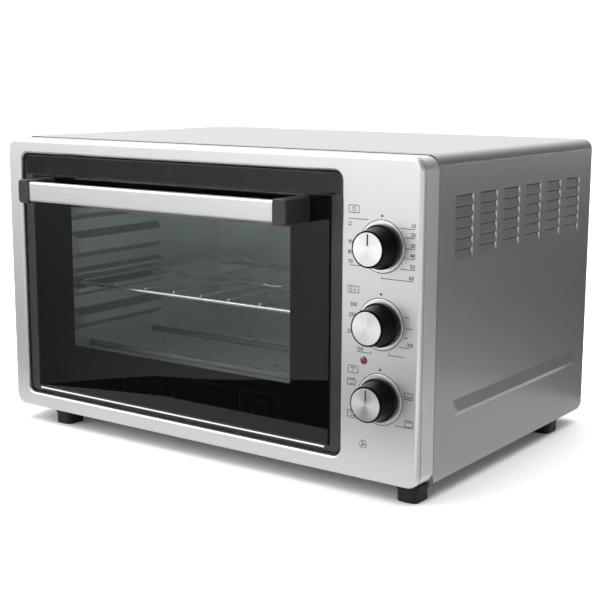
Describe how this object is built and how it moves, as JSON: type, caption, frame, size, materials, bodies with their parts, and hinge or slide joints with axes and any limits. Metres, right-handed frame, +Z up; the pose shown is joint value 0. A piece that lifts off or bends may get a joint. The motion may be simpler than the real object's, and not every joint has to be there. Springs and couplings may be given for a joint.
{
  "type": "toaster oven",
  "caption": "Countertop toaster oven: drop-down glass door with bar handle, rotary controls, convection fan, wire rack and a louvred wrap-around cover.",
  "frame": {"origin": "on the surface the oven stands on, under the middle of its box (handle to cord gland)", "axes": "+Z up, +X to the right of someone facing the door, -Y out of the front"},
  "size_m": [0.524, 0.404, 0.3135],
  "materials": {
    "fascia_silver": "satin metallic silver",
    "cover_grey": "fine metallic grey paint",
    "galvanised": "plain galvanised sheet",
    "cavity_steel": "aluminised sheet",
    "black_rubber": "matt",
    "black_plastic": "satin moulded",
    "knob_black": "semi-gloss moulded",
    "door_paint": "satin charcoal",
    "door_glass": "tinted, black border",
    "clear_glass": "clear",
    "brushed_aluminium": "brushed along the bar",
    "spun_aluminium": "spun",
    "chrome_wire": "bright plated",
    "heater_steel": "heat-darkened",
    "ceramic": null,
    "red_lens": "translucent",
    "lamp_body": "small bulb",
    "white_plastic": "moulded",
    "copper": "bare",
    "wire_cover": "flexible",
    "motor_steel": "laminated"
  },
  "bodies": {
    "root": {"front_frame": "fascia_silver", "outer_cover": "cover_grey", "rear_panel": "galvanised", "base_pan": "galvanised", "foot_front_left": "black_rubber", "foot_front_right": "black_rubber", "foot_rear_left": "black_rubber", "foot_rear_right": "black_rubber", "cavity_front_flange": "cavity_steel", "cavity_left_wall": "cavity_steel", "cavity_right_wall": "cavity_steel", "cavity_roof": "cavity_steel", "cavity_floor": "cavity_steel", "cavity_rear_wall": "cavity_steel", "lower_heaters": "heater_steel", "upper_heaters": "heater_steel", "heater_insulators": "ceramic", "fan_cover": "cavity_steel", "fan_motor": "motor_steel", "motor_bracket": "galvanised", "heat_shield": "galvanised", "control_bracket": "galvanised", "timer_unit": "white_plastic", "timer_bell": "chrome_wire", "thermostat_unit": "ceramic", "thermostat_bulb": "copper", "selector_switch": "white_plastic", "knob_bezels": "spun_aluminium", "indicator_lens": "red_lens", "indicator_lamp": "lamp_body", "terminal_block": "white_plastic", "cord_gland": "black_plastic", "internal_wiring": "wire_cover", "hinge_bracket_left": "galvanised", "hinge_bracket_right": "galvanised", "hinge_springs": "chrome_wire", "rear_screws": "chrome_wire", "foot_screws": "chrome_wire"},
    "door": {"door_frame": "door_paint", "door_glass": "door_glass", "door_inner_glass": "clear_glass", "door_inner_panel": "cavity_steel", "handle_bar": "brushed_aluminium", "handle_bracket_left": "black_plastic", "handle_bracket_right": "black_plastic", "handle_screws": "chrome_wire", "hinge_pins": "chrome_wire"},
    "rack": {"wire_rack": "chrome_wire"},
    "fan": {"fan_impeller": "galvanised", "fan_shaft": "chrome_wire"},
    "timer_knob": {"knob_timer": "knob_black", "cap_timer": "spun_aluminium", "spindle_timer": "chrome_wire"},
    "thermostat_knob": {"knob_thermostat": "knob_black", "cap_thermostat": "spun_aluminium", "spindle_thermostat": "chrome_wire"},
    "selector_knob": {"knob_selector": "knob_black", "cap_selector": "spun_aluminium", "spindle_selector": "chrome_wire"}
  },
  "joints": [
    {"name": "door_hinge", "type": "hinge", "parent": "root", "child": "door", "pos_m": [-0.03125, -0.1565, 0.042], "axis": [1, 0, 0], "range_deg": [0, 85], "stiffness_Nm_per_rad": 0.7, "springref_deg": -57.3},
    {"name": "rack_slide", "type": "slide", "parent": "root", "child": "rack", "axis": [0, -1, 0], "range_m": [0, 0.13]},
    {"name": "fan_spin", "type": "hinge", "parent": "root", "child": "fan", "pos_m": [-0.03125, 0.138, 0.166], "axis": [0, 1, 0], "continuous": true},
    {"name": "timer_turn", "type": "hinge", "parent": "root", "child": "timer_knob", "pos_m": [0.2198, -0.165, 0.2325], "axis": [0, 1, 0], "range_deg": [-45, 285]},
    {"name": "thermostat_turn", "type": "hinge", "parent": "root", "child": "thermostat_knob", "pos_m": [0.2198, -0.165, 0.163], "axis": [0, 1, 0], "range_deg": [0, 300]},
    {"name": "selector_turn", "type": "hinge", "parent": "root", "child": "selector_knob", "pos_m": [0.2198, -0.165, 0.0945], "axis": [0, 1, 0], "range_deg": [0, 300]}
  ],
  "couplings": [
    {"joint": "rack_slide", "follows": "door_hinge", "m_per_rad": 0.0875}
  ]
}
